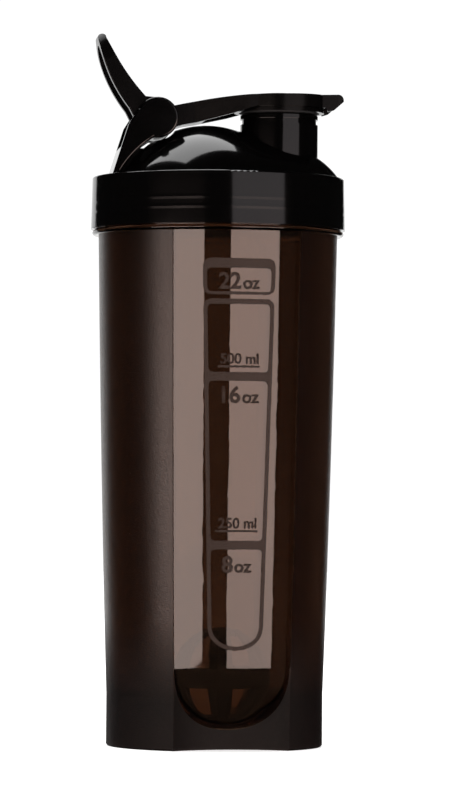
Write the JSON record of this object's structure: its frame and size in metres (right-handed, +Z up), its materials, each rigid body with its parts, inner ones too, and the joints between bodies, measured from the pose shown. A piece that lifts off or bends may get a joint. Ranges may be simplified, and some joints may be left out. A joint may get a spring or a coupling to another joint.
{
  "type": "protein shaker bottle",
  "caption": "Smoke-tinted shaker cup with clear windows and a rounded bottom, black screw lid with drinking spout, hinged flip cap, carry loop and a loose mixing ball.",
  "frame": {"origin": "centre of the cup's base, on the surface it stands on", "axes": "+Z up along the cup's axis, +X from the lid's hinge towards the drinking spout, -Y towards the front window"},
  "size_m": [0.0886, 0.0886, 0.2472],
  "materials": {
    "smoke_plastic": "tinted, see-through, polished windows and fine-textured sides",
    "black_gloss": "polished black",
    "black_satin": "satin black",
    "ball_plastic": "plain black",
    "silicone": "soft dark silicone"
  },
  "bodies": {
    "cup": {"cup": "smoke_plastic"},
    "mixing_ball": {"mixing_ball_upper": "ball_plastic", "mixing_ball_lower": "ball_plastic"},
    "seal": {"lid_gasket": "silicone"},
    "lid": {"lid_shell": "black_gloss", "hinge_pin": "black_satin"},
    "flip_cap": {"flip_cap": "black_satin", "spout_stopper": "silicone"},
    "carry_loop": {"carry_loop": "black_satin"}
  },
  "joints": [
    {"name": "ball_slide", "type": "slide", "parent": "cup", "child": "mixing_ball", "axis": [0, 0, 1], "range_m": [0, 0.13]},
    {"name": "lid_lift", "type": "slide", "parent": "cup", "child": "seal", "axis": [0, 0, 1], "range_m": [0, 0.00826]},
    {"name": "lid_turn", "type": "hinge", "parent": "seal", "child": "lid", "pos_m": [0, 0, 0.19], "axis": [0, 0, 1], "range_deg": [0, 900]},
    {"name": "flip_cap_hinge", "type": "hinge", "parent": "lid", "child": "flip_cap", "pos_m": [-0.0224, 0, 0.2178], "axis": [0, -1, 0], "range_deg": [0, 95]},
    {"name": "carry_loop_hinge", "type": "hinge", "parent": "lid", "child": "carry_loop", "pos_m": [-0.0224, 0, 0.2178], "axis": [0, -1, 0], "range_deg": [0, 65]}
  ],
  "couplings": [
    {"joint": "lid_lift", "follows": "lid_turn", "m_per_rad": 0.00052521}
  ]
}
